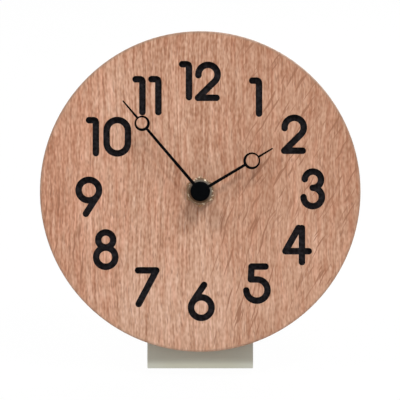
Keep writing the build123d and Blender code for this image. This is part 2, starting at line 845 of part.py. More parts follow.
def along_coil(shape, half_length):
    """Extrude a shape of (x, depth) both ways along the coil."""
    return Pos(-coil_offset, core_middle, rotor_place[1]) * extrude(
        shape, amount=half_length, both=True)


def coil_bobbin():
    half = winding_length / 2
    tube_width = core_width + 2 * bobbin_wall
    tube_depth = core_thickness + 2 * bobbin_wall
    spool = along_coil(Rectangle(bobbin_size, bobbin_size), half + bobbin_flange)
    gap = along_coil(Rectangle(bobbin_size + overrun, bobbin_size + overrun)
                     - Rectangle(tube_width, tube_depth), half)
    bore = along_coil(Rectangle(core_width, core_thickness), half + bobbin_flange + overrun)
    return spool - gap - bore


def coil_winding():
    tube_width = core_width + 2 * bobbin_wall
    tube_depth = core_thickness + 2 * bobbin_wall
    outer = RectangleRounded(winding_diameter, winding_diameter, winding_corner_radius)
    return along_coil(outer - Rectangle(tube_width, tube_depth), winding_length / 2)


# Circuit board, chip and crystal, on the rear face of the middle plate
board_right = half_inner - plate_clearance
board_left = board_right - board_width
board_bottom = divider_top + plate_clearance
board_top = board_bottom + board_height
board_rear = plate_rear + board_thickness


def circuit_board():
    middle = ((board_left + board_right) / 2, (board_bottom + board_top) / 2)
    outline = Pos(*middle) * RectangleRounded(board_width, board_height, board_corner_radius)
    board = slab(outline, plate_rear, board_rear)
    chip = rod(chip_diameter / 2, board_rear, board_rear + chip_height, middle)
    chip = chamfer(chip.edges().sort_by(Axis.Y)[-1], chip_edge)
    return board + chip


def crystal_can():
    radius = crystal_diameter / 2
    can = Cylinder(radius, crystal_length, rotation=(0, 90, 0))
    can = chamfer(can.edges(), crystal_edge)
    pin_radius = crystal_pin_diameter / 2
    pin = Cylinder(pin_radius, crystal_pin_length, rotation=(0, 90, 0))
    pin_middle = (crystal_length + crystal_pin_length) / 2
    for side in (-1, 1):
        can += Pos(pin_middle, 0, side * radius / 2) * pin
    place_right = board_right - crystal_length / 2 - crystal_pin_length - contact_thickness
    height = board_top - crystal_diameter
    return Pos(place_right, board_rear + radius, height) * can


# Battery bay: cell, plain positive contact and sprung negative contact
contact_bottom = battery_axis_height - contact_height / 2
contact_front = battery_axis_depth - contact_width / 2
contact_rear = battery_axis_depth + contact_width / 2
negative_end = -bay_half + contact_thickness + spring_rise + contact_play


def battery():
    radius = battery_radius
    nub = battery_nub_diameter / 2
    ring = battery_ring_diameter / 2
    shoulder = battery_length - battery_nub_length
    profile = [
        (0, 0), (ring, 0), (ring, battery_ring_depth), (radius - battery_edge, battery_ring_depth),
        (radius, battery_ring_depth + battery_edge), (radius, shoulder - battery_edge),
        (radius - battery_edge, shoulder), (ring, shoulder),
        (ring, shoulder - battery_ring_depth), (nub, shoulder - battery_ring_depth),
        (nub, battery_length), (0, battery_length),
    ]
    cell = Rot(0, 0, -90) * turned(profile)
    return Pos(negative_end, battery_axis_depth, battery_axis_height) * cell


def positive_contact():
    wall = bay_half
    inner = wall - contact_thickness
    plate = block(inner, wall, contact_front, contact_rear, contact_bottom, divider_bottom)
    riser = block(inner, wall, strip_front, strip_front + strip_height,
                  divider_bottom - contact_thickness, divider_top + tab_width)
    tab = block(wall - tab_length, wall, strip_front, strip_front + contact_thickness,
                divider_top + plate_clearance, divider_top + tab_width)
    bump = Cone(contact_bump_diameter / 2, contact_bump_tip_diameter / 2, contact_bump_rise,
                rotation=(0, -90, 0))
    bump = Pos(inner - contact_bump_rise / 2, battery_axis_depth, battery_axis_height) * bump
    return plate + riser + tab + bump


def negative_contact():
    wall = -bay_half
    inner = wall + contact_thickness
    plate = block(wall, inner, contact_front, contact_rear, contact_bottom, divider_bottom)
    riser = block(wall, inner, strip_front, strip_front + strip_height,
                  divider_bottom - contact_thickness, divider_top + contact_thickness)
    run_end = board_left + tab_length / 2
    run = block(wall, run_end, strip_front, strip_front + strip_height,
                divider_top, divider_top + contact_thickness)
    tab = block(board_left, run_end, strip_front, strip_front + contact_thickness,
                divider_top, divider_top + tab_width)
    half = contact_height / 2 - contact_thickness
    crown = inner + spring_rise
    middle = battery_axis_height
    leaf = make_face([
        ThreePointArc((inner, middle - half), (crown, middle), (inner, middle + half)),
        Line((inner, middle + half), (inner, middle + half - 2 * contact_thickness)),
        ThreePointArc((inner, middle + half - 2 * contact_thickness),
                      (crown - contact_thickness, middle),
                      (inner, middle - half + 2 * contact_thickness)),
        Line((inner, middle - half + 2 * contact_thickness), (inner, middle - half)),
    ])
    leaf = slab(leaf, battery_axis_depth - spring_width / 2, battery_axis_depth + spring_width / 2)
    return plate + riser + run + tab + leaf


# From the dial's frame to the row's frame
def stood_up(piece):
    """Lean a piece of the dial's frame back and set it on the floor."""
    to_bend = Pos(0, -bend_centre_depth, -bend_centre_height)
    to_floor = Pos(0, -foot_length / 2, strip_bend_radius)
    return to_floor * Rot(-lean_angle, 0, 0) * to_bend * piece


makers = [
    wooden_disc, steel_stand, stand_screws, movement_case, rear_cover, middle_plate,
    threaded_bush, sealing_washer, nut_washer, central_nut,
    hour_hand, minute_hand, cap_nut,
    hour_wheel, minute_arbor, motion_wheel, setting_pinion, setting_knob,
    centre_wheel, third_wheel, seconds_wheel, intermediate_wheel,
    rotor_pinion, rotor_magnet, stator, coil_core, coil_bobbin, coil_winding,
    circuit_board, crystal_can, battery, positive_contact, negative_contact,
]

for maker in makers:
    export_step(stood_up(maker()), os.path.join("parts", maker.__name__ + ".step"))
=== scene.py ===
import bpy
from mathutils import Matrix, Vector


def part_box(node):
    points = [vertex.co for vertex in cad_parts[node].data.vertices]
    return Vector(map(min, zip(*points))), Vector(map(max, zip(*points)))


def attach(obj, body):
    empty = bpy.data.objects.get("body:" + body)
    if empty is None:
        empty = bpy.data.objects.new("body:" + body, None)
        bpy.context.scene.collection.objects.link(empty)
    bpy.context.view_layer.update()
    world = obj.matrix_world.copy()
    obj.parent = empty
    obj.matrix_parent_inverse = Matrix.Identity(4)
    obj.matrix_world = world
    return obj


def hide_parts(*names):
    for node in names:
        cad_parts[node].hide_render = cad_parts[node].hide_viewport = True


bl_info = {
    "name": "Wooden Desk Clock",
    "version": (1, 0, 0),
    "blender": (4, 5, 0),
    "location": "3D View > Sidebar > Clock",
    "description": "Finishes of a round oak desk clock with milled numerals on a bent steel strip",
    "category": "Object",
}

from math import cos, pi, radians, sin

import bmesh
import bpy
import numpy as np
from bpy.props import FloatProperty, FloatVectorProperty, IntProperty, PointerProperty
from mathutils import Vector

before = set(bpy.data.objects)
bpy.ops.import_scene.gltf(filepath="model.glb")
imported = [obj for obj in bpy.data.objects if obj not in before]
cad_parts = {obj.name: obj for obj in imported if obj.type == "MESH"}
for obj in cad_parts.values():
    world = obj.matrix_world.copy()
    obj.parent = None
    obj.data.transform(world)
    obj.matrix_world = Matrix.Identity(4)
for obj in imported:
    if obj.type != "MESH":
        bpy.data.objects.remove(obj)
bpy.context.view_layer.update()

# The dial's own frame, in millimetres: X to the right, depth backward from the front
# face of the disc, height up from the axis of the hands. The clock leans back by LEAN
# about the centre of the strip's bend, which is BEND_DEPTH behind the face, BEND_DROP
# below the axis, BEND_RADIUS above the floor and FOOT_HALF in front of the foot's middle.
LEAN = radians(12.0)
BEND_DEPTH = 21.0
BEND_DROP = 78.8
BEND_RADIUS = 5.0
FOOT_HALF = 30.0

# Sizes and places of the pieces that the finishes follow, in the dial's frame and in mm
DISC_RADIUS = 75.0
STRIP_HALF = 25.0
STRIP_BACK = 18.0
SCREW_ACROSS = 15.0
SCREW_HEIGHT = -59.0
NUT_FACE_RADIUS = 5.4
NUT_EDGE_RADIUS = 7.1
BOARD_BACK = 15.4

# What the stage is set out by: metres from the dial to each lamp, and the point of the
# dial in the middle of the camera's view, in the dial's frame
LAMP_DISTANCE = 1.2
VIEW_ACROSS = -0.11
VIEW_HEIGHT = -4.0


def srgb(red, green, blue):
    """Scene-linear colour of an 8-bit screen colour: the standard curve, channel by channel."""
    shares = [value / 255 for value in (red, green, blue)]
    return tuple(s / 12.92 if s <= 0.04045 else ((s + 0.055) / 1.055) ** 2.4 for s in shares)


def scaled(colour, factor):
    """A colour times a factor, with each channel held to 1."""
    return tuple(min(1.0, factor * channel) for channel in colour)


def to_row(points):
    """Points (across, depth, height) of the dial's frame, in mm, as row points in metres.

    The depth and height are turned by the lean about the centre of the strip's bend,
    which stands one bend radius above the floor.
    """
    points = np.asarray(points, dtype=float)
    depth = points[..., 1] - BEND_DEPTH
    height = points[..., 2] + BEND_DROP
    rows = np.stack([
        points[..., 0],
        depth * cos(LEAN) + height * sin(LEAN) - FOOT_HALF,
        -depth * sin(LEAN) + height * cos(LEAN) + BEND_RADIUS,
    ], axis=-1)
    return rows / 1000


def to_dial(point):
    """One row point in metres as (across, depth, height) of the dial's frame: the turn undone."""
    across, back, up = (1000 * value for value in point)
    back = back + FOOT_HALF
    up = up - BEND_RADIUS
    depth = back * cos(LEAN) - up * sin(LEAN) + BEND_DEPTH
    height = back * sin(LEAN) + up * cos(LEAN) - BEND_DROP
    return np.array([across, depth, height])


# Properties that a user would change


def tint(name, description, default):
    return FloatVectorProperty(
        name=name, description=description, default=default, subtype="COLOR", size=3, min=0, max=1)


class OakSettings(bpy.types.PropertyGroup):
    """Colours and grain of the wooden disc."""

    pale: tint("Pale oak", "Palest fibres", srgb(211, 173, 151))
    middle: tint("Middle oak", "Mean colour of the face", srgb(183, 141, 115))
    dark: tint("Dark oak", "Darkest fibres", srgb(146, 96, 68))
    red: tint("Reddening", "What the reddest wood multiplies the oak by", (1.0, 0.87, 0.82))
    pore: tint("Pores", "Open pores", srgb(124, 84, 64))
    fleck: tint("Fleck colour", "Slanting flecks", srgb(138, 90, 64))
    # Painted shade along the rounded front edge
    painted_edge_shade: tint("Rim", "Dulled wood along the front edge", srgb(136, 112, 92))
    paint: tint("Numeral paint", "Matte paint in the milled numerals", srgb(18, 16, 18))
    fibre_width: FloatProperty(
        name="Fibre width", description="Width of one fibre bundle, in mm", default=0.8, min=0.1, max=5)
    contrast: FloatProperty(
        name="Contrast", description="Contrast between the fibres", default=0.72, min=0, max=4)
    fleck_strength: FloatProperty(
        name="Flecks", description="How dark the slanting flecks are", default=0.8,
        min=0, max=1, subtype="FACTOR")
    relief: FloatProperty(
        name="Relief", description="Strength of the grain's relief", default=0.15,
        min=0, max=1, subtype="FACTOR")


class StandSettings(bpy.types.PropertyGroup):
    """Finish of the bent strip and its screws."""

    steel: tint("Strip", "Satin strip", srgb(168, 164, 151))
    # The bend's colour is a painted reflection of the floor below it
    bend: tint("Bend", "Brighter face of the bend", srgb(198, 196, 179))
    # The strip edge's colour is a painted highlight, mixed in towards the long edges
    edge: tint("Strip edge", "Mixed in towards the long edges", srgb(230, 240, 255))
    roughness: FloatProperty(
        name="Roughness", description="Roughness of the satin face", default=0.5,
        min=0, max=1, subtype="FACTOR")
    screw: tint("Screws", "Zinc-plated screws", srgb(196, 196, 192))


class FixingSettings(bpy.types.PropertyGroup):
    """Nut, washers, bush, hands and cap at the middle of the dial."""

    # The nut's colours stand for what the polished nickel reflects: painted reflections of the oak, with
    # painted shade low down and painted highlights on the slope
    nickel: tint("Nut face", "Polished face of the nut", srgb(126, 117, 105))
    low_face_painted_shade: tint("Nut face, low", "Lower side of the face, over the wood", srgb(88, 66, 48))
    slope: tint("Nut slope", "Slope next to the face", srgb(114, 91, 73))
    edge_painted_oak_reflection: tint("Nut edge", "Outer edge of the slope, tinted by the oak", srgb(164, 126, 98))
    low_edge_painted_shade: tint("Nut edge, low", "Outer edge of the slope low down", srgb(138, 98, 64))
    painted_glint: tint("Nut glints", "Bright spots on the slope", srgb(226, 210, 184))
    brass: tint("Brass", "Bush and minute arbor", srgb(214, 178, 106))
    rubber: tint("Rubber", "Sealing washer behind the wood", srgb(28, 28, 28))
    hand_black: tint("Hands", "Matte black of the hands", srgb(5, 5, 6))
    cap_black: tint("Cap", "Matte black of the cap nut", srgb(4, 5, 6))
    thread_pitch: FloatProperty(
        name="Thread pitch", description="Pitch of the bush's thread, in mm", default=0.75, min=0.3, max=2)
    thread_steps: IntProperty(
        name="Thread steps", description="Points along the bush for each turn of its thread",
        default=8, min=4, max=16)


class MovementSettings(bpy.types.PropertyGroup):
    """Finishes of the movement's housing, wheels and motor."""

    housing: tint("Housing", "Moulded case, cover and knob", srgb(27, 27, 29))
    wheel: tint("Wheels", "Moulded acetal wheels", srgb(232, 229, 218))
    magnet: tint("Magnet", "Sintered rotor magnet", srgb(74, 74, 78))
    iron: tint("Soft iron", "Stator plate and coil core", srgb(186, 186, 188))
    copper: tint("Copper wire", "Enamelled winding", srgb(190, 104, 58))
    board: tint("Board", "Varnished circuit board", srgb(38, 96, 52))
    track: tint("Tracks", "Copper under the varnish", srgb(84, 142, 74))
    chip: tint("Chip", "Moulded chip on the board", srgb(20, 20, 21))
    sleeve: tint("Battery sleeve", "Plain sleeve of the cell", srgb(52, 58, 66))
    contact: tint("Contacts", "Nickel-plated spring steel", srgb(222, 220, 212))


class StageSettings(bpy.types.PropertyGroup):
    """Floor, light and camera."""

    ambient: FloatProperty(
        name="Ambient", description="Strength of the even light from all round", default=0.28, min=0, max=2)
    right_share: FloatProperty(
        name="Right light", description="What the light high on the right adds on the dial",
        default=0.25, min=0, max=2)
    left_share: FloatProperty(
        name="Left light", description="What the light high on the left adds on the dial",
        default=0.2, min=0, max=2)
    front_share: FloatProperty(
        name="Front light", description="What the light above the camera adds on the dial",
        default=0.19, min=0, max=2)
    back_share: FloatProperty(
        name="Back light", description="What the light behind the clock adds on its back",
        default=0.5, min=0, max=2)
    floor_white: FloatProperty(
        name="Floor white", description="Share of pure white in what the camera sees of the floor",
        default=0.98, min=0, max=1, subtype="FACTOR")
    camera_distance: FloatProperty(
        name="Camera distance", description="From the dial to the camera, in metres", default=1.5,
        min=0.5, max=5, subtype="DISTANCE", unit="LENGTH")
    view_width: FloatProperty(
        name="View width", description="What the frame takes in at the dial, in metres", default=0.18704,
        min=0.1, max=1, subtype="DISTANCE", unit="LENGTH")


# Shader maths as plain expressions


class Term:
    """A shader socket that takes part in ordinary sums; each operation adds a Math node."""

    def __init__(self, shade, socket):
        self.shade = shade
        self.socket = socket

    def join(self, operation, *values, clamp=False):
        sockets = dict(enumerate(values))
        settings = {"operation": operation, "use_clamp": clamp}
        return self.shade.node("ShaderNodeMath", settings, sockets)

    def __add__(self, other):
        return self.join("ADD", self, other)

    def __radd__(self, other):
        return self.join("ADD", other, self)

    def __sub__(self, other):
        return self.join("SUBTRACT", self, other)

    def __rsub__(self, other):
        return self.join("SUBTRACT", other, self)

    def __mul__(self, other):
        return self.join("MULTIPLY", self, other)

    def __rmul__(self, other):
        return self.join("MULTIPLY", other, self)

    def __truediv__(self, other):
        return self.join("DIVIDE", self, other)

    def __pow__(self, other):
        return self.join("POWER", self, other)

    def clamped(self):
        return self.join("ADD", self, 0.0, clamp=True)

    def absolute(self):
        return self.join("ABSOLUTE", self)

    def sine(self):
        return self.join("SINE", self)

    def most(self, other):
        return self.join("MAXIMUM", self, other)

    def step(self, low, high):
        """Smooth rise from 0 to 1 between two values, or a fall when low is the larger."""
        return self.shade.node(
            "ShaderNodeMapRange", {"interpolation_type": "SMOOTHSTEP"},
            {"Value": self, "From Min": low, "From Max": high, "To Min": 0.0, "To Max": 1.0})


class Shade:
    """The nodes of one material or world, and the single method that makes them."""

    def __init__(self, owner):
        self.owner = owner
        owner.use_nodes = True
        self.tree = owner.node_tree
        self.tree.nodes.clear()

    def node(self, kind, settings=None, values=None, output=0):
        """Make a node: its settings first, then a value or a link for each named socket."""
        made = self.tree.nodes.new(kind)
        for key, value in (settings or {}).items():
            setattr(made, key, value)
        for key, value in (values or {}).items():
            socket = made.inputs[key]
            if isinstance(value, Term):
                self.tree.links.new(value.socket, socket)
            elif socket.type == "RGBA" and len(value) == 3:
                socket.default_value = (*value, 1.0)
            else:
                socket.default_value = value
        return Term(self, made.outputs[output]) if made.outputs else None

    def dial_axes(self):
        """Across, depth and height in the dial's frame, in mm, from the row's coordinates.

        The row's point is scaled to mm and turned back by the lean, and the shift takes
        it from the foot to the axis of the hands.
        """
        place = self.node("ShaderNodeTexCoord", output=3)
        shift_depth = FOOT_HALF * cos(LEAN) + BEND_RADIUS * sin(LEAN) + BEND_DEPTH
        shift_height = FOOT_HALF * sin(LEAN) - BEND_RADIUS * cos(LEAN) - BEND_DROP
        turned = self.node("ShaderNodeMapping", {"vector_type": "POINT"}, {
            "Vector": place, "Scale": (1000, 1000, 1000), "Rotation": (LEAN, 0, 0),
            "Location": (0, shift_depth, shift_height)})
        split = self.node("ShaderNodeSeparateXYZ", None, {"Vector": turned})
        return [Term(self, socket) for socket in split.socket.node.outputs]

    def noise(self, x, y, z, detail=2.0):
        """Smooth noise from 0 to 1 whose cells are one unit of the three terms."""
        place = self.node("ShaderNodeCombineXYZ", None, {"X": x, "Y": y, "Z": z})
        return self.node("ShaderNodeTexNoise", None, {"Vector": place, "Scale": 1.0, "Detail": detail})

    def cells(self, axes, size, detail=2.0):
        """Noise whose cells have the same size, in mm, along all three axes."""
        return self.noise(*[axis / size for axis in axes], detail=detail)

    def rings(self, axes, width):
        """Rings of a turned surface: noise of the radius and the depth, each over the ring's width."""
        return self.noise(from_axis(axes) / width, axes[1] / width, 0.0, detail=1.0)

    def blend(self, factor, first, second, mode="MIX"):
        """Mix of two colours, the second where the factor is 1."""
        settings = {"data_type": "RGBA", "blend_type": mode, "clamp_factor": True}
        return self.node("ShaderNodeMix", settings, {0: factor, 6: first, 7: second}, output=2)

    def bump(self, height, strength, distance):
        """Relief of a height, whose full rise stands for a distance in metres."""
        values = {"Height": height, "Strength": strength, "Distance": distance}
        return self.node("ShaderNodeBump", None, values)

    def surface(self, **values):
        """Principled shader; sockets are given by name with underscores for spaces."""
        named = {key.replace("_", " "): value for key, value in values.items()}
        return self.node("ShaderNodeBsdfPrincipled", None, named)

    def finish(self, shader, output="ShaderNodeOutputMaterial"):
        self.node(output, None, {"Surface": shader})
        return self.owner


def new_shade(name):
    return Shade(bpy.data.materials.new(name))


def from_axis(axes):
    """Distance from the axis of the hands: the root of across squared plus height squared."""
    across, _, height = axes
    return (across * across + height * height) ** 0.5


def dress(material, *nodes):
    """Put a material in every slot of the named CAD nodes."""
    for node in nodes:
        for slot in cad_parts[node].material_slots:
            slot.material = material


# Surfaces worked out on a grid


def skin(name, points, smooth=True, poles=False):
    """Mesh of a closed band of rings, points[ring, spot, xyz], in the dial's frame.

    Each ring closes on itself. Without poles the last ring joins the first one; with
    poles the first and last rings have shrunk to a point each.
    """
    rings, spots = points.shape[:2]
    here = np.arange(rings * spots).reshape(rings, spots)
    along = np.roll(here, -1, axis=0)
    if poles:
        here = here[:-1]
        along = along[:-1]
    faces = np.stack([here, np.roll(here, -1, axis=1), np.roll(along, -1, axis=1), along], axis=-1)
    mesh = bpy.data.meshes.new(name)
    mesh.from_pydata(to_row(points).reshape(-1, 3).tolist(), [], faces.reshape(-1, 4).tolist())
    work = bmesh.new()
    work.from_mesh(mesh)
    bmesh.ops.remove_doubles(work, verts=work.verts, dist=1e-7)
    bmesh.ops.recalc_face_normals(work, faces=work.faces)
    work.to_mesh(mesh)
    work.free()
    mesh.polygons.foreach_set("use_smooth", [smooth] * len(mesh.polygons))
    piece = bpy.data.objects.new(name, mesh)
    bpy.context.scene.collection.objects.link(piece)
    return piece


def along_profile(corners, step):
    """Points along a polyline of (radius, depth) corners, no more than a step apart.

    Each run is divided evenly; the corners themselves are kept.
    """
    corners = np.asarray(corners, dtype=float)
    lengths = np.hypot(*np.diff(corners, axis=0).T)
    counts = np.maximum(np.ceil(lengths / step).astype(int), 1)
    shares = np.concatenate([index + np.arange(n) / n for index, n in enumerate(counts)])
    shares = np.append(shares, len(corners) - 1.0)
    places = np.arange(len(corners))
    return np.stack([np.interp(shares, places, corners[:, axis]) for axis in (0, 1)], axis=-1)


def saw(phase):
    """Triangle wave from 0 at whole numbers to 1 half way between them."""
    return 1 - np.abs(2 * (phase % 1.0) - 1)


def ramp(value, width):
    """Even rise from 0 to 1 as a value goes from 0 to a width."""
    return np.clip(value / width, 0, 1)


# Oak with its milled numerals


def oak_material(look):
    """Fine straight fibres up the dial, with pores, streaks of hue and slanting flecks.

    A layer of fibres is noise whose cells are one fibre wide and much longer along the
    grain. Layers of four lengths are added, and their sum, which is raised or lowered
    from place to place, runs from the dark oak through the middle one to the pale one.
    Each place is a product of smooth steps of the coordinates, in mm. Flecks are the
    peaks of longer noise whose axes are turned to the right by the flecks' angle.
    """
    shade = new_shade("oak")
    axes = shade.dial_axes()
    across, depth, height = axes
    radius = from_axis(axes)

    # The fibres wander sideways, and ripple too, more so on the right side of the face
    wander = shade.noise(across / 40, depth / 40, height / 60, detail=1.0) - 0.5
    ripple = shade.noise(across / 6, depth / 6, height / 8, detail=0.0) - 0.5
    rippled = across.step(-10.0, 35.0) * 0.6 + 0.4
    fibre_place = across + wander * 6.0 + ripple * rippled

    def fibres(width, length, seed, detail=0.0):
        """One layer: noise about 0 with cells of a width across the grain and a length along it."""
        return shade.noise(fibre_place / width, depth / width + seed, height / length, detail) - 0.5

    def flecks(angle, width, length, low, high, seed):
        """Thin spindles that lean to the right by an angle, where noise rises from low to high."""
        lean = radians(angle)
        off = across * cos(lean) - height * sin(lean)
        on = across * sin(lean) + height * cos(lean)
        bend = shade.noise(on / 8, off / 30, seed, detail=1.0) - 0.5
        peaks = shade.noise((off + bend * 2.0) / width, depth / 4 + seed, on / length, detail=1.0)
        return peaks.step(low, high)

    # Fibres of four lengths, the longest ones also broad
    width = look.fibre_width
    short = fibres(width, length=1.9, seed=1.3)
    medium = fibres(width, length=6.5, seed=5.9)
    long = fibres(width * 1.2, length=30.0, seed=7.7)
    broad = fibres(width * 4.0, length=55.0, seed=9.2, detail=2.0)
    grain = short + medium * 0.9 + long + broad * 0.5

    # Paler towards the bottom, less so at the left edge, and in a band on the left
    bottom = height.step(5.0, -60.0)
    left_band = (across + 46.0).absolute().step(16.0, 6.0) * height.step(-60.0, 0.0)
    paler = bottom * (across.step(-45.0, 0.0) * 0.14 + 0.12) + left_band * 0.12

    # A little darker all over, and more so near the edge, in a band on the right, from the left
    # part on, at the top, low on the right and far to the right
    near_edge = radius.step(60.0, DISC_RADIUS)
    right_band = (across - 26.0).absolute().step(18.0, 6.0)
    right_part = across.step(-26.0, -4.0)
    top = height.step(25.0, 55.0)
    low_right = across.step(8.0, 24.0) * height.step(-15.0, -50.0)
    far_right = across.step(45.0, 62.0)
    darker = (near_edge + right_band) * 0.08 + right_part * 0.04 + top * 0.05 + 0.06
    darker = darker + low_right * 0.12 + far_right * 0.05

    # The fibres are fainter where flecks lie, on the right above and below the axis
    upper = across.step(6.0, 30.0) * height.step(-26.0, 0.0)
    lower = across.step(-6.0, 14.0) * height.step(6.0, -14.0)
    clear = 1.0 - upper * 0.2 - lower * 0.15
    tone = grain * look.contrast * clear + paler - darker + 0.5
    wood = shade.blend(tone * 2.0, look.dark, look.middle)
    wood = shade.blend(tone * 2.0 - 1.0, wood, look.pale)

    # Redder and less red streaks, and beige ones down the middle and low on the left; redder
    # at the left edge, and less red on the right, at the top and at the bottom
    middle_streak = (fibre_place - 0.5).absolute().step(12.0, 3.0)
    low_streak = (fibre_place + 29.0).absolute().step(10.0, 3.0) * height.step(-15.0, -40.0)
    beige = middle_streak.most(low_streak) * (broad * 2.0 + 0.75)
    hue = fibres(width * 3.0, length=16.0, seed=17.3, detail=2.0)
    redness = hue * 2.8 - beige * 0.5 + 0.32
    redness = redness + across.step(-26.0, -66.0) * 0.55 - across.step(10.0, 40.0) * 0.15
    redness = redness - height.step(15.0, 45.0) * 0.15 - height.step(-20.0, -65.0) * 0.2
    wood = shade.blend(redness, wood, look.red, mode="MULTIPLY")

    # Pores, short and dark
    pores = fibres(0.5, length=3.2, seed=12.4).step(0.16, 0.3)
    wood = shade.blend(pores * 0.5, wood, look.pore)

    # Flecks across the fibres on the right, steeper ones low down except far to the right, and
    # ones nearly along the fibres at the left edge
    far = across.step(42.0, 56.0) * height.step(16.0, -6.0)
    left_edge = across.step(-40.0, -58.0) * height.step(22.0, -8.0)
    marks = upper * flecks(angle=32.0, width=1.5, length=16.0, low=0.595, high=0.67, seed=2.0)
    steep = flecks(angle=16.0, width=1.2, length=20.0, low=0.605, high=0.67, seed=24.0)
    marks = marks + lower * (1.0 - far) * steep
    marks = marks + far * flecks(angle=30.0, width=1.4, length=14.0, low=0.6, high=0.68, seed=33.0)
    upright = flecks(angle=5.0, width=1.5, length=18.0, low=0.58, high=0.68, seed=45.0)
    marks = (marks + left_edge * upright).clamped()
    marks = marks * radius.step(DISC_RADIUS - 0.2, DISC_RADIUS - 1.5)
    wood = shade.blend(marks * look.fleck_strength, wood, look.fleck)

    # Darker along the front edge, most at the top: painted shade of the rounded edge
    front_edge = radius.step(DISC_RADIUS - 1.4, DISC_RADIUS - 0.6) * depth.step(1.4, 0.8)
    painted_edge_shade_weight = height.step(-20.0, 50.0) * 0.3 + 0.3
    wood = shade.blend(front_edge * painted_edge_shade_weight, wood, look.painted_edge_shade)

    oak = shade.surface(
        Base_Color=wood, Roughness=short * 0.15 + pores * 0.1 + 0.6, IOR=1.45,
        Normal=shade.bump(grain - pores * 0.9, look.relief, 0.0001))
    painted, paint = numeral_paint(shade, look, axes)
    return shade.finish(shade.node("ShaderNodeMixShader", None, {0: painted, 1: oak, 2: paint}))


def numeral_paint(shade, look, axes):
    """Where the paint of the numerals lies, from 0 to 1, and its shader.

    It covers whatever is milled into the face, between the bore and the edge of the disc.
    Noise takes its tone from darker than the set colour to paler, as in worn paint, and
    finer noise gives it a tooth.
    """
    depth = axes[1]
    radius = from_axis(axes)
    milled = depth.step(0.05, 0.2) * depth.step(3.2, 2.6)
    between = radius.step(9.0, 10.0) * radius.step(DISC_RADIUS - 3.0, DISC_RADIUS - 4.0)
    worn = shade.cells(axes, 1.9, detail=1.0).step(0.25, 0.8)
    tooth = shade.cells(axes, 0.35)
    paint = shade.surface(
        Base_Color=shade.blend(worn, scaled(look.paint, 0.45), scaled(look.paint, 3.1)),
        Roughness=tooth * 0.15 + 0.6, Specular_IOR_Level=0.1,
        Normal=shade.bump(tooth, 0.2, 0.00005))
    return milled * between, paint


class CLOCK_OT_oak_disc(bpy.types.Operator):
    """Give the wooden disc its oak grain and the numerals their black paint"""

    bl_idname = "clock.oak_disc"
    bl_label = "Oak disc"

    def execute(self, context):
        dress(oak_material(context.scene.clock_oak), "wooden_disc")
        return {"FINISHED"}


# Steel strip and its screws


def satin_steel(look):
    """Metal with fine brush lines, with a painted reflection of the floor that pales its bend,
    and painted highlights towards its long edges.

    The lines are noise with long cells across the strip and short ones along it, and
    rounder noise clouds them. The painted reflection and highlights are smooth steps of
    height and of distance from the strip's middle.
    """
    shade = new_shade("satin_strip")
    axes = shade.dial_axes()
    across, depth, height = axes
    lines = shade.noise(across / 9, depth / 0.12, height / 0.12, detail=3.0)
    cloud = shade.cells(axes, 14)
    # Painted reflection of the floor: paler in the bend
    bent = height.step(-BEND_DROP - 0.6, -BEND_DROP - 3.8)
    painted_edge_highlight = across.absolute().step(12.0, STRIP_HALF)
    tone = shade.blend(bent, look.steel, look.bend)
    # Painted highlights towards the long edges, strongest in the bend
    tone = shade.blend(painted_edge_highlight * (bent * 0.07 + 0.02), tone, look.edge)
    tone = shade.blend((lines + cloud) * 0.06, tone, (0.0, 0.0, 0.0))
    rough = lines * 0.06 + cloud * 0.05 + (look.roughness - 0.05)
    return shade.finish(shade.surface(
        Base_Color=tone, Metallic=1.0, Roughness=rough, Normal=shade.bump(lines, 0.12, 0.00002)))


class CLOCK_OT_steel_stand(bpy.types.Operator):
    """Give the bent strip its satin finish"""

    bl_idname = "clock.steel_stand"
    bl_label = "Steel stand"

    def execute(self, context):
        dress(satin_steel(context.scene.clock_stand), "steel_stand")
        return {"FINISHED"}


def screw_points(across, height, seat, turns=96):
    """Pan-head wood screw as rings of spots; its head sits at the depth called seat.

    The outline runs by its corners, (radius, rise over the seat), from the middle of the
    head to the tip. Along the shank the radius dips by the thread's depth times a triangle
    wave of the way below the seat over the pitch, less the turn, which is a helix. In the
    head the spots of a cross sink, the more the nearer to its middle: those less than an
    arm's half width from one of its two lines, and less than an arm's length along it.
    """
    head = [(0, 2.3), (1.2, 2.26), (2.4, 2.0), (3.1, 1.5), (3.42, 0.9), (3.5, 0.35), (3.4, 0.02), (1.7, 0)]
    shank = [(1.7, 0), (1.7, -3.0), (1.7, -9.0), (0.9, -10.8), (0, -11.98)]
    pitch = 1.6
    thread_depth = 0.42
    thread_start = 2.4
    thread_end = 11.9
    arm_half_width = 0.62
    arm_taper = 0.12
    arm_length = 2.0
    cross_depth = 1.5
    cross_slope = 0.3
    dome_edge = 1.4

    top = along_profile(head, 0.1)
    body = along_profile(shank, 0.13)
    profile = np.concatenate([top, body[1:]])
    turn = np.linspace(0, 2 * pi, turns, endpoint=False)
    radius = profile[:, 0, None] * np.ones(turns)
    rise = profile[:, 1, None] * np.ones(turns)
    threaded = ramp(-rise - thread_start, 0.8) * ramp(thread_end + rise, 1.5) * np.minimum(1, radius)
    radius = radius - threaded * thread_depth * saw(-rise / pitch - turn / (2 * pi))
    x = radius * np.cos(turn)
    z = radius * np.sin(turn)
    wide = np.minimum(np.abs(x), np.abs(z))
    long = np.maximum(np.abs(x), np.abs(z))
    in_cross = ramp(arm_half_width - arm_taper * long - wide, 0.12) * ramp(arm_length - long, 0.25)
    on_top = (rise > dome_edge) & (np.arange(len(profile))[:, None] < len(top))
    rise = rise - on_top * in_cross * (cross_depth - cross_slope * long)
    return np.stack([x + across, rise + seat, z + height], axis=-1)


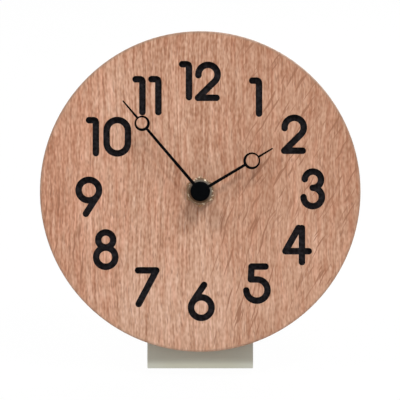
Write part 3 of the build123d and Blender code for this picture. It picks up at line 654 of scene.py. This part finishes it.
class CLOCK_OT_stand_screws(bpy.types.Operator):
    """Make the two cross-head wood screws that hold the strip"""

    bl_idname = "clock.stand_screws"
    bl_label = "Stand screws"

    def execute(self, context):
        look = context.scene.clock_stand
        shade = new_shade("zinc_plate")
        cloud = shade.cells(shade.dial_axes(), 1.3, detail=3.0)
        finish = shade.finish(shade.surface(
            Base_Color=shade.blend(cloud, scaled(look.screw, 0.82), look.screw), Metallic=1.0,
            Roughness=cloud * 0.16 + 0.24, Normal=shade.bump(cloud, 0.1, 0.00002)))
        dress(finish, "stand_screws")

        # Both screws stand for one node, so they are joined in the first one's mesh
        places = (-SCREW_ACROSS, SCREW_ACROSS)
        points = [screw_points(across, SCREW_HEIGHT, STRIP_BACK) for across in places]
        piece, other = (skin("screw_part", screw, poles=True) for screw in points)
        work = bmesh.new()
        work.from_mesh(piece.data)
        work.from_mesh(other.data)
        work.to_mesh(piece.data)
        work.free()
        bpy.data.objects.remove(other)
        piece.name = "cross_head_screws"
        piece.data.materials.append(finish)
        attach(piece, "clock_body")
        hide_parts("stand_screws")
        return {"FINISHED"}


# Bush, washers, nut, hands and cap


def nut_material(look):
    """Polished nickel with a face and the slope round it, coloured by painted reflections of the oak.

    Both are browner and darker low down, by a smooth step of the height with some of the across
    added: painted shade and painted reflection of the oak. The slope goes to its edge's colour,
    a painted reflection of the oak, as the radius grows, unevenly by noise, and has painted
    highlights where finer noise peaks, fainter low down.
    """
    shade = new_shade("nickel_with_painted_reflections")
    axes = shade.dial_axes()
    across, _, height = axes
    radius = from_axis(axes)
    cloud = shade.cells(axes, 1.6)
    # Painted shade and painted reflection of the oak, low down and to the left on the nut
    low = (height + across * 0.6).step(3.5, -3.5)
    face = shade.blend(low, look.nickel, look.low_face_painted_shade)
    # The slope's outer edge: a painted reflection of the oak, with painted shade low down
    edge = shade.blend(low, look.edge_painted_oak_reflection, look.low_edge_painted_shade)
    outward = (radius + cloud * 1.2 - 0.6).step(NUT_FACE_RADIUS + 0.4, NUT_EDGE_RADIUS)
    # Painted highlights where finer noise peaks, fainter low down
    glints = shade.cells(axes, 1.1, detail=1.0).step(0.5, 0.72)
    slope = shade.blend(outward, look.slope, edge)
    slope = shade.blend(glints * (0.85 - low * 0.45), slope, look.painted_glint)
    tone = shade.blend(radius.step(NUT_FACE_RADIUS - 0.1, NUT_FACE_RADIUS + 0.2), face, slope)
    return shade.finish(shade.surface(
        Base_Color=tone, Metallic=1.0, Roughness=cloud * 0.08 + 0.16,
        Normal=shade.bump(shade.rings(axes, 0.05), 0.08, 0.00001)))


def plated_material(name, colour, roughness, ring_width=0.05):
    """Turned metal: faint rings about the axis of the hands, and clouds of noise in its tone."""
    shade = new_shade(name)
    axes = shade.dial_axes()
    rings = shade.rings(axes, ring_width)
    cloud = shade.cells(axes, 2.5)
    tone = shade.blend(cloud * 0.7 + rings * 0.3, scaled(colour, 0.9), colour)
    return shade.finish(shade.surface(
        Base_Color=tone, Metallic=1.0, Roughness=cloud * 0.08 + roughness,
        Normal=shade.bump(rings, 0.08, 0.00001)))


def bush_points(pitch, steps, turns=96):
    """Bush with its flange and bore as a closed band of rings.

    The outline runs by its corners, (radius, depth). From the front to where the thread
    ends, the outer radius dips by the thread's depth times a triangle wave of the depth
    over the pitch, less the turn, which is a helix.
    """
    bore = 2.6
    crest = 4.0
    chamfer = 0.35
    flange = 6.0
    front = -4.0
    shoulder = 9.2
    rear = 10.0
    thread_end = 6.5
    thread_depth = 0.36
    outline = [(bore, front), (crest - chamfer, front), (crest, front + chamfer), (crest, shoulder),
               (flange, shoulder), (flange, rear), (bore, rear), (bore, front)]

    profile = along_profile(outline, pitch / steps)[:-1]
    turn = np.linspace(0, 2 * pi, turns, endpoint=False)
    depth = profile[:, 1, None] * np.ones(turns)
    cut = (profile[:, 0, None] > crest - 0.01) & (depth < thread_end)
    radius = profile[:, 0, None] - cut * thread_depth * saw(depth / pitch - turn / (2 * pi))
    return np.stack([radius * np.cos(turn), depth, radius * np.sin(turn)], axis=-1)


class CLOCK_OT_centre_fixing(bpy.types.Operator):
    """Cut the bush's thread and finish the nut and washers"""

    bl_idname = "clock.centre_fixing"
    bl_label = "Centre fixing"

    def execute(self, context):
        look = context.scene.clock_fixing
        brass = plated_material("turned_brass", look.brass, 0.22)
        dress(nut_material(look), "central_nut", "nut_washer")
        dress(brass, "threaded_bush", "minute_arbor")

        shade = new_shade("black_rubber")
        pits = shade.cells(shade.dial_axes(), 0.4, detail=3.0)
        tone = shade.blend(pits, scaled(look.rubber, 0.7), look.rubber)
        rubber = shade.finish(shade.surface(
            Base_Color=tone, Roughness=pits * 0.15 + 0.72, Normal=shade.bump(pits, 0.3, 0.00005)))
        dress(rubber, "sealing_washer")

        bush = skin("bush_with_thread", bush_points(look.thread_pitch, look.thread_steps), smooth=False)
        bush.data.materials.append(brass)
        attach(bush, "clock_body")
        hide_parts("threaded_bush")
        return {"FINISHED"}


def matte_black(name, colour, roughness, level):
    """Sprayed black: fine noise as orange peel, and broad noise that lifts its tone."""
    shade = new_shade(name)
    axes = shade.dial_axes()
    peel = shade.cells(axes, 0.3)
    wear = shade.cells(axes, 3.0)
    return shade.finish(shade.surface(
        Base_Color=shade.blend(wear, colour, scaled(colour, 1.6)), Specular_IOR_Level=level,
        Roughness=peel * 0.1 + roughness, Normal=shade.bump(peel, 0.12, 0.00002)))


class CLOCK_OT_hands(bpy.types.Operator):
    """Finish the ring hands and the cap nut in matte black"""

    bl_idname = "clock.hands"
    bl_label = "Hands and cap"

    def execute(self, context):
        look = context.scene.clock_fixing
        dress(matte_black("black_hands", look.hand_black, 0.5, 0.02), "hour_hand", "minute_hand")
        dress(matte_black("black_cap", look.cap_black, 0.45, 0.01), "cap_nut")
        return {"FINISHED"}


# Movement


def moulded(name, colour, roughness, grain_size, relief):
    """Moulded plastic: fine noise as the mould's grain, and a soft mottle in colour and gloss."""
    shade = new_shade(name)
    axes = shade.dial_axes()
    grain = shade.cells(axes, grain_size)
    mottle = shade.cells(axes, 9.0)
    tone = shade.blend(mottle, scaled(colour, 0.86), scaled(colour, 1.06))
    return shade.finish(shade.surface(
        Base_Color=tone, Roughness=grain * 0.12 + mottle * 0.05 + roughness,
        Normal=shade.bump(grain, relief, 0.00003)))


class CLOCK_OT_movement_housing(bpy.types.Operator):
    """Finish the moulded case, its rear cover and the setting knob"""

    bl_idname = "clock.movement_housing"
    bl_label = "Movement housing"

    def execute(self, context):
        look = context.scene.clock_movement
        plastic = moulded("grained_black_plastic", look.housing, 0.46, grain_size=0.22, relief=0.35)
        dress(plastic, "movement_case", "rear_cover", "setting_knob")
        return {"FINISHED"}


class CLOCK_OT_gear_train(bpy.types.Operator):
    """Finish the moulded wheels, pinions and the middle plate"""

    bl_idname = "clock.gear_train"
    bl_label = "Gear train"

    def execute(self, context):
        look = context.scene.clock_movement
        plastic = moulded("acetal", look.wheel, 0.32, grain_size=0.5, relief=0.08)
        dress(plastic, "middle_plate", "hour_wheel", "motion_wheel", "setting_pinion", "centre_wheel",
              "third_wheel", "seconds_wheel", "intermediate_wheel", "rotor_pinion", "coil_bobbin")
        return {"FINISHED"}


def ground_metal(name, colour, roughness, grain_size):
    """Stamped or sintered metal: even fine noise in its tone, gloss and relief."""
    shade = new_shade(name)
    grain = shade.cells(shade.dial_axes(), grain_size, detail=3.0)
    return shade.finish(shade.surface(
        Base_Color=shade.blend(grain, scaled(colour, 0.78), colour), Metallic=1.0,
        Roughness=grain * 0.15 + roughness, Normal=shade.bump(grain, 0.2, 0.00002)))


def winding_points(length=18.0, wires=45, steps=8, spots=48):
    """Hollow winding as rings along its length: the outside one way, the hole the other way.

    A ring is a rounded square, whose points are a half size times the signed 2/5 power of
    the cosine and of the sine of their angle. The half size swells by half a sine wave
    for each wire, which winds along the coil.
    """
    half_size = 2.68
    swell = 0.12
    hole_half_width = 1.62
    hole_half_depth = 1.12
    run = np.linspace(-length / 2, length / 2, wires * steps + 1)[:, None]
    angle = np.linspace(0, 2 * pi, spots, endpoint=False)
    square_x = np.sign(np.cos(angle)) * np.abs(np.cos(angle)) ** 0.4
    square_y = np.sign(np.sin(angle)) * np.abs(np.sin(angle)) ** 0.4
    outer = half_size + swell * np.abs(np.sin(pi * (run * wires / length - angle / (2 * pi))))
    outside = np.stack([outer * square_x, outer * square_y, run + 0 * angle], axis=-1)
    back = run[::-12] + 0 * angle
    inside = np.stack([hole_half_width * square_x + 0 * back, hole_half_depth * square_y + 0 * back, back],
                      axis=-1)
    return np.concatenate([outside, inside])


class CLOCK_OT_stepping_motor(bpy.types.Operator):
    """Wind the coil and finish the stator, core and magnet"""

    bl_idname = "clock.stepping_motor"
    bl_label = "Stepping motor"

    def execute(self, context):
        look = context.scene.clock_movement
        dress(ground_metal("soft_iron", look.iron, 0.34, 0.5), "stator", "coil_core")
        dress(ground_metal("sintered_magnet", look.magnet, 0.5, 0.18), "rotor_magnet")

        shade = new_shade("enamelled_copper")
        across, depth, height = shade.dial_axes()
        strand = shade.noise(across / 3, depth / 3, height / 0.1)
        tone = shade.blend(strand, scaled(look.copper, 0.7), look.copper)
        copper = shade.finish(shade.surface(
            Base_Color=tone, Metallic=0.9, Roughness=strand * 0.12 + 0.28, Coat_Weight=0.4,
            Normal=shade.bump(strand, 0.15, 0.00002)))
        dress(copper, "coil_winding")

        # The coil stands upright, its length along the dial's height, in the middle of its node's box
        low, high = (np.array(corner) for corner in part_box("coil_winding"))
        coil = skin("wound_coil", winding_points() + to_dial((low + high) / 2))
        coil.data.materials.append(copper)
        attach(coil, "clock_body")
        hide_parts("coil_winding")
        return {"FINISHED"}


def board_material(look):
    """Varnished board with its tracks, and the chip that stands on its back.

    The tracks lie where the sine of the across times the sine of the height is near 0,
    and the chip is whatever is behind the board's back.
    """
    shade = new_shade("varnished_board")
    axes = shade.dial_axes()
    across, depth, height = axes
    lane = (across * 0.9).sine() * (height * 1.1).sine()
    tracks = lane.absolute().step(0.16, 0.1)
    chip = depth.step(BOARD_BACK + 0.03, BOARD_BACK + 0.08)
    fine = shade.cells(axes, 0.5)
    tone = shade.blend(tracks * 0.8, look.board, look.track)
    tone = shade.blend(chip, tone, look.chip)
    relief = tracks * (1.0 - chip) + fine * 0.3
    return shade.finish(shade.surface(
        Base_Color=tone, Roughness=fine * 0.1 + chip * 0.3 + 0.28, Normal=shade.bump(relief, 0.2, 0.00003)))


class CLOCK_OT_circuit(bpy.types.Operator):
    """Finish the circuit board with its chip, the crystal and the contacts"""

    bl_idname = "clock.circuit"
    bl_label = "Circuit and contacts"

    def execute(self, context):
        look = context.scene.clock_movement
        dress(board_material(look), "circuit_board")
        dress(plated_material("plated_can", look.contact, 0.2, ring_width=0.2), "crystal_can")
        dress(ground_metal("sprung_contact", look.contact, 0.22, 0.8),
              "positive_contact", "negative_contact")
        return {"FINISHED"}


def cell_material(look, left, right):
    """Plain sleeve with a paler band, and bare metal at both ends, between two places across.

    Each part begins and ends at a steep step of the across, and stretched noise creases
    the sleeve.
    """
    shade = new_shade("cell_sleeve")
    across, depth, height = shade.dial_axes()
    bare_left = across.step(left + 0.75, left + 0.7)
    bare_right = across.step(right - 1.5, right - 1.45)
    bare = bare_left.most(bare_right)
    band = across.step(right - 14.0, right - 13.9) * (1.0 - bare)
    crease = shade.noise(across / 6, depth / 1.5, height / 1.5, detail=3.0)
    tone = shade.blend(band, look.sleeve, scaled(look.sleeve, 2.6))
    tone = shade.blend(bare, tone, look.contact)
    return shade.finish(shade.surface(
        Base_Color=tone, Metallic=bare * 0.5 + 0.5, Roughness=crease * 0.16 + 0.26,
        Normal=shade.bump(crease, 0.12, 0.00006)))


class CLOCK_OT_battery(bpy.types.Operator):
    """Give the cell its plain sleeve and bare metal ends"""

    bl_idname = "clock.battery"
    bl_label = "Battery"

    def execute(self, context):
        low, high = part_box("battery")
        dress(cell_material(context.scene.clock_movement, low.x * 1000, high.x * 1000), "battery")
        return {"FINISHED"}


# Stage


def soft_lamp(name, direction, size, share):
    """Square lamp in a direction of the dial's frame, its size in metres.

    On the dial, or on the back, it adds a share of a white surface's full level: its power
    is that share times pi squared times the distance squared, over the cosine of the angle
    at which its light meets the disc.
    """
    target = Vector(to_row((0, 0, 0)))
    ray = Vector(to_row(direction)) - target
    ray.normalize()
    facing = Vector(to_row((0, -1, 0))) - target
    facing.normalize()
    data = bpy.data.lights.new(name, "AREA")
    data.shape = "SQUARE"
    data.size = size
    data.energy = share * pi ** 2 * LAMP_DISTANCE ** 2 / abs(ray.dot(facing))
    lamp = bpy.data.objects.new(name, data)
    lamp.location = target + ray * LAMP_DISTANCE
    lamp.rotation_euler = ray.to_track_quat("Z", "Y").to_euler()
    bpy.context.scene.collection.objects.link(lamp)


def floor_mesh(half_width=6.0, turn_start=3.0, turn_radius=1.5, top=5.0):
    """Floor that sweeps up into a backdrop, in metres: level, then a quarter turn, then upright.

    Round the turn the way back grows by the radius times the sine of the angle, and the
    height is the radius less the radius times the cosine.
    """
    angle = np.linspace(0, pi / 2, 25)
    level = np.array([-6.0, -1.0, 0.0, 1.5])
    back = np.concatenate([level, turn_start + turn_radius * np.sin(angle), [turn_start + turn_radius]])
    height = np.concatenate([0 * level, turn_radius - turn_radius * np.cos(angle), [top]])
    sides = np.tile([-half_width, half_width], back.size)
    points = np.stack([sides, np.repeat(back, 2), np.repeat(height, 2)], axis=-1)
    start = np.arange(0, 2 * (back.size - 1), 2)
    faces = np.stack([start, start + 1, start + 3, start + 2], axis=-1)
    mesh = bpy.data.meshes.new("floor_sweep")
    mesh.from_pydata(points.tolist(), [], faces.tolist())
    mesh.polygons.foreach_set("use_smooth", [True] * len(mesh.polygons))
    return mesh


def seen_in_mirror(shade):
    """1 on rays from the camera, from gloss and through glass, and 0 on the rays that light things."""
    rays = shade.node("ShaderNodeLightPath")
    outlets = rays.socket.node.outputs
    seen = Term(shade, outlets["Is Camera Ray"]).most(Term(shade, outlets["Is Glossy Ray"]))
    return seen.most(Term(shade, outlets["Is Transmission Ray"]))


def floor_material(look):
    """Matt off-white with a fine tooth, of which the camera and gloss see mostly plain white."""
    shade = new_shade("white_floor")
    place = shade.node("ShaderNodeTexCoord", output=3)
    tooth = shade.node("ShaderNodeTexNoise", None, {"Vector": place, "Scale": 300.0, "Detail": 2.0})
    tone = shade.blend(tooth, (0.78, 0.78, 0.78), (0.82, 0.82, 0.82))
    matt = shade.surface(Base_Color=tone, Roughness=0.9, Specular_IOR_Level=0.2)
    white = shade.node("ShaderNodeEmission", None, {"Color": (1, 1, 1), "Strength": 1.0})
    seen = seen_in_mirror(shade) * look.floor_white
    return shade.finish(shade.node("ShaderNodeMixShader", None, {0: seen, 1: matt, 2: white}))


def soft_room(look):
    """World that lights evenly from all round, and is white to the camera and in gloss."""
    shade = Shade(bpy.data.worlds.new("soft_room"))
    level = seen_in_mirror(shade) * (1.0 - look.ambient) + look.ambient
    sky = shade.node("ShaderNodeBackground", None, {"Color": (1, 1, 1), "Strength": level})
    return shade.finish(sky, "ShaderNodeOutputWorld")


def front_camera(look):
    """Camera on the dial's own normal, as far off as is set.

    Its focal length over the sensor's width is the distance over the width of the view.
    """
    target = Vector(to_row((VIEW_ACROSS, 0.0, VIEW_HEIGHT)))
    away = Vector(to_row((VIEW_ACROSS, -1000.0 * look.camera_distance, VIEW_HEIGHT)))
    data = bpy.data.cameras.new("front_camera")
    data.sensor_width = 36.0
    data.lens = data.sensor_width * look.camera_distance / look.view_width
    camera = bpy.data.objects.new("front_camera", data)
    camera.location = away
    camera.rotation_euler = (away - target).to_track_quat("Z", "Y").to_euler()
    return camera


class CLOCK_OT_stage(bpy.types.Operator):
    """Set out the floor, the soft lights and the camera square on to the dial"""

    bl_idname = "clock.stage"
    bl_label = "Stage"

    def execute(self, context):
        look = context.scene.clock_stage
        scene = context.scene
        floor = bpy.data.objects.new("floor_sweep", floor_mesh())
        floor.data.materials.append(floor_material(look))
        scene.collection.objects.link(floor)

        scene.world = soft_room(look)
        soft_lamp("right_light", (0.6, -1.0, 1.3), 0.22, look.right_share)
        soft_lamp("left_light", (-0.72, -1.0, 1.28), 0.18, look.left_share)
        soft_lamp("front_light", (0.3, -1.0, 0.86), 0.1, look.front_share)
        soft_lamp("back_light", (0.5, 1.0, 1.2), 0.6, look.back_share)

        camera = front_camera(look)
        scene.collection.objects.link(camera)
        scene.camera = camera
        scene.view_settings.view_transform = "Standard"
        return {"FINISHED"}


class CLOCK_PT_panel(bpy.types.Panel):
    """Lists the steps that dress the clock"""

    bl_label = "Wooden Desk Clock"
    bl_idname = "CLOCK_PT_panel"
    bl_space_type = "VIEW_3D"
    bl_region_type = "UI"
    bl_category = "Clock"

    def draw(self, context):
        layout = self.layout
        for operator in OPERATORS:
            layout.operator(operator.bl_idname)
        for name, group in SETTINGS.items():
            box = layout.box()
            box.label(text=group.__doc__)
            for field in group.__annotations__:
                box.prop(getattr(context.scene, name), field)


OPERATORS = (
    CLOCK_OT_stage,
    CLOCK_OT_oak_disc,
    CLOCK_OT_steel_stand,
    CLOCK_OT_stand_screws,
    CLOCK_OT_centre_fixing,
    CLOCK_OT_hands,
    CLOCK_OT_movement_housing,
    CLOCK_OT_gear_train,
    CLOCK_OT_stepping_motor,
    CLOCK_OT_circuit,
    CLOCK_OT_battery,
)
SETTINGS = {
    "clock_oak": OakSettings,
    "clock_stand": StandSettings,
    "clock_fixing": FixingSettings,
    "clock_movement": MovementSettings,
    "clock_stage": StageSettings,
}


def register():
    for group in (*SETTINGS.values(), *OPERATORS, CLOCK_PT_panel):
        bpy.utils.register_class(group)
    for name, group in SETTINGS.items():
        setattr(bpy.types.Scene, name, PointerProperty(type=group))


def unregister():
    for name in SETTINGS:
        delattr(bpy.types.Scene, name)
    for group in reversed((*SETTINGS.values(), *OPERATORS, CLOCK_PT_panel)):
        bpy.utils.unregister_class(group)


def main():
    register()
    for operator in OPERATORS:
        getattr(bpy.ops.clock, operator.bl_idname.split(".")[1])()


if __name__ == "__main__":
    main()
